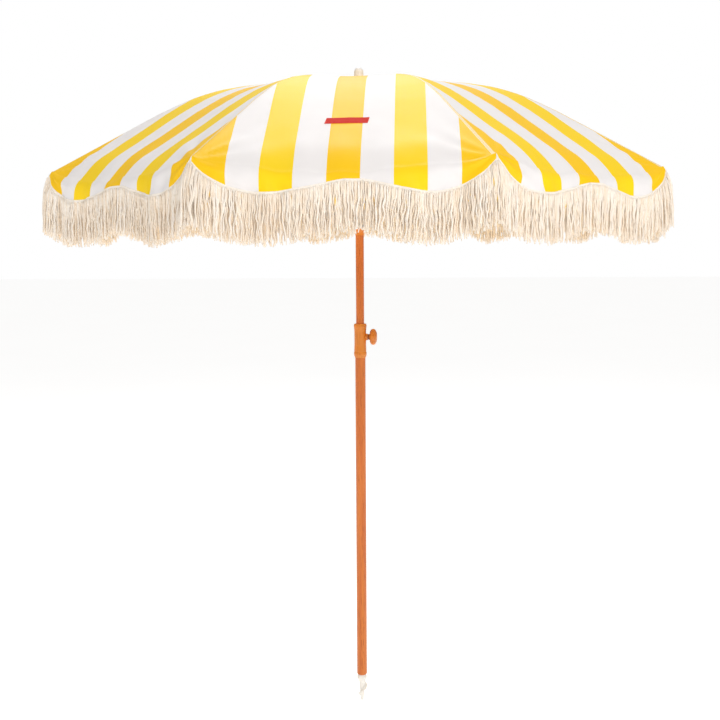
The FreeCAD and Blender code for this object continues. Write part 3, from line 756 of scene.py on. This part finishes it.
def add_strand(tubes, gore, share, layer):
    jitter = (rng.uniform(-0.3, 0.3) + layer / STRAND_LAYERS - 0.33) * STRAND_SPACING
    across, out, z = hem_point(gore, share, 1.0)
    tip = nearness_to_rib(share)
    length = FRINGE_DROP * rng.uniform(0.88, 1.05) + RIB_FRINGE_EXTRA * tip
    start_drop = TAPE_WIDTH * 0.5
    sway = lean(gore, share, layer) + rng.uniform(-0.004, 0.004)
    depth_sway = rng.uniform(-0.007, 0.007) - 0.004 * layer
    phase, cycles = rng.uniform(0, 2 * math.pi), rng.uniform(1.4, 3.0)
    curl = rng.uniform(0.0008, 0.0026)
    radius = STRAND_RADIUS * rng.uniform(0.8, 1.25)
    path = []
    radii = []
    for i in range(STRAND_STEPS + 1):
        t = i / STRAND_STEPS
        wave = curl * math.sin(phase + cycles * 2 * math.pi * t) * min(1.0, 3 * t)
        side = jitter + sway * (1 - tip) * t**1.4 + wave
        away = 0.0018 * (1 - layer) + depth_sway * t
        away += 0.5 * curl * math.cos(phase * 1.7 + cycles * 2 * math.pi * t)
        belly = RIB_FRINGE_BELLY * tip * (1 - math.exp(-5 * t))
        place_across, place_out = pushed_out(across + side, out, away + belly, share)
        drop = start_drop + (length - start_drop) * t
        path.append(world_point(gore, place_across, place_out, z - drop))
        radii.append(radius * (1.15 - 0.40 * t) * (1 + 0.18 * math.sin(phase + 11 * t)))
    tubes.tube(path, radii, rng.random())


for rib_index in range(RIB_COUNT):
    number = rib_index + 1
    hem_rows = slice(ROWS_OUT, ROWS_OUT + ROWS_HEM + 1)
    for word, gore, side in (("before", previous_gore(rib_index), 1), ("after", rib_index, -1)):
        half = slice(HALF_COLUMNS, None) if side > 0 else slice(0, HALF_COLUMNS + 1)
        gore_points, gore_cloth, gore_normals = (array[hem_rows, half] for array in GORES[gore])
        hem = cloth_piece("hem_%d_%s" % (number, word), gore_points, gore_cloth, gore_normals, CANVAS)
        tubes = Tubes()
        add_tape(tubes, gore, side)
        for layer in range(STRAND_LAYERS):
            for share in HEM_SHARES:
                add_strand(tubes, gore, side * share, layer)
        fringe = new_object("fringe_%d_%s" % (number, word), tubes.vertices, tubes.faces, YARN)
        fringe.data.materials.append(TAPE)
        fringe.data.polygons.foreach_set("material_index", tubes.materials)
        float_attribute(fringe.data, "shade", tubes.shade)
        for piece in (hem, fringe):
            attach(piece, "skirt_%d" % number)
            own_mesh(piece)
        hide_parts("valance_%d" % number)


# ---- label -----------------------------------------------------------------------------------
def label_piece():
    low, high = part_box("label")
    front = next(
        gore for gore in range(RIB_COUNT) if gore_frame(gore)[0].y < -0.99
    )
    columns, rows = 40, 8
    skew, slant = 0.055, 0.16
    middle = -(low.y + high.y) / 2
    points = np.zeros((rows + 1, columns + 1, 3))
    cloth = np.zeros((rows + 1, columns + 1, 3))
    for i in range(rows + 1):
        for j in range(columns + 1):
            out = mix(-high.y, -low.y, i / rows)
            across = mix(low.x, high.x, j / columns) - slant * (out - middle)
            out -= skew * across
            share = across / (out * math.tan(HALF_GORE))
            place = world_point(front, *canopy_point(front, share, out))
            points[i, j] = place + Vector((0, 0, LABEL_LIFT))
            cloth[i, j] = (across, out, 1.0)
    normals = grid_normals(points)
    piece = cloth_piece("label_strip", points, cloth, normals, SLOT_MATERIALS["label_fabric"])
    body = frame["nodes"]["label"]["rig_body"]
    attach(piece, body)
    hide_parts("label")
    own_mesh(piece)
    fall = canopy_point(front, 0.0, -high.y)[2] - canopy_point(front, 0.0, -low.y)[2]


label_piece()


# ---- floor, light and camera -----------------------------------------------------------------
def floor():
    n = Nodes("studio_floor")
    tone = n.mix(n.noise(0.8, 2.0), srgb(252, 252, 252), srgb(248, 248, 248))
    material = n.finish(
        Base_Color=tone,
        Roughness=0.85,
        Specular_IOR_Level=0.1,
        Emission_Color=(1.0, 1.0, 1.0, 1.0),
        Emission_Strength=FLOOR_GLOW,
    )
    reach = 40.0
    corners = [(-reach, -reach, 0), (reach, -reach, 0), (reach, reach, 0), (-reach, reach, 0)]
    obj = new_object("floor", corners, [(0, 1, 2, 3)], material)


def area_light(name, place, target, size, power):
    light = bpy.data.lights.new(name, "AREA")
    light.shape = "DISK"
    light.size = size
    light.energy = power
    obj = bpy.data.objects.new(name, light)
    bpy.context.scene.collection.objects.link(obj)
    obj.location = place
    obj.rotation_euler = (Vector(target) - Vector(place)).to_track_quat("-Z", "Y").to_euler()


def studio():
    """A white room: the backdrop is pure white to the eye and gives a softer light than it shows."""
    world = bpy.data.worlds.new("studio")
    world.use_nodes = True
    tree = world.node_tree
    soft = tree.nodes["Background"]
    soft.inputs["Color"].default_value = (1.0, 0.99, 0.975, 1.0)
    direction = tree.nodes.new("ShaderNodeTexCoord")
    split = tree.nodes.new("ShaderNodeSeparateXYZ")
    tree.links.new(direction.outputs["Generated"], split.inputs[0])
    rise = tree.nodes.new("ShaderNodeMapRange")
    rise.inputs["From Min"].default_value = 0.0
    rise.inputs["From Max"].default_value = 0.8
    rise.inputs["To Min"].default_value = AMBIENT_LOW
    rise.inputs["To Max"].default_value = AMBIENT_HIGH
    tree.links.new(split.outputs["Z"], rise.inputs["Value"])
    tree.links.new(rise.outputs["Result"], soft.inputs["Strength"])
    seen = tree.nodes.new("ShaderNodeBackground")
    seen.inputs["Color"].default_value = (1.0, 1.0, 1.0, 1.0)
    seen.inputs["Strength"].default_value = 1.0
    path = tree.nodes.new("ShaderNodeLightPath")
    mixer = tree.nodes.new("ShaderNodeMixShader")
    tree.links.new(path.outputs["Is Camera Ray"], mixer.inputs[0])
    tree.links.new(soft.outputs[0], mixer.inputs[1])
    tree.links.new(seen.outputs[0], mixer.inputs[2])
    tree.links.new(mixer.outputs[0], tree.nodes["World Output"].inputs[0])
    bpy.context.scene.world = world
    target = (0, 0, 1.5)
    area_light("key", (2.2, -3.6, 3.6), target, 1.8, KEY_POWER)
    area_light("back", (-0.2, 2.3, 5.0), target, 2.2, BACK_POWER)
    area_light("fill", (-3.2, -2.2, 2.6), target, 1.6, FILL_POWER)
    bpy.context.scene.view_settings.view_transform = "Standard"


def camera():
    distance, height = 3.249, 1.466
    turn, pitch, roll = math.radians(2.53), math.radians(6.39), math.radians(0.32)
    data = bpy.data.cameras.new("camera")
    data.lens = 52.7
    data.sensor_width = 36.0
    data.shift_x = -0.0005
    obj = bpy.data.objects.new("camera", data)
    bpy.context.scene.collection.objects.link(obj)
    obj.location = (distance * math.sin(turn), -distance * math.cos(turn), height)
    aim = Vector((-math.sin(turn) * math.cos(pitch), math.cos(turn) * math.cos(pitch), -math.sin(pitch)))
    look = aim.to_track_quat("-Z", "Y").to_matrix()
    obj.rotation_euler = (look @ roll_matrix(roll)).to_euler()
    bpy.context.scene.camera = obj


def roll_matrix(angle):
    return Matrix.Rotation(-angle, 3, "Z")


floor()
studio()
camera()
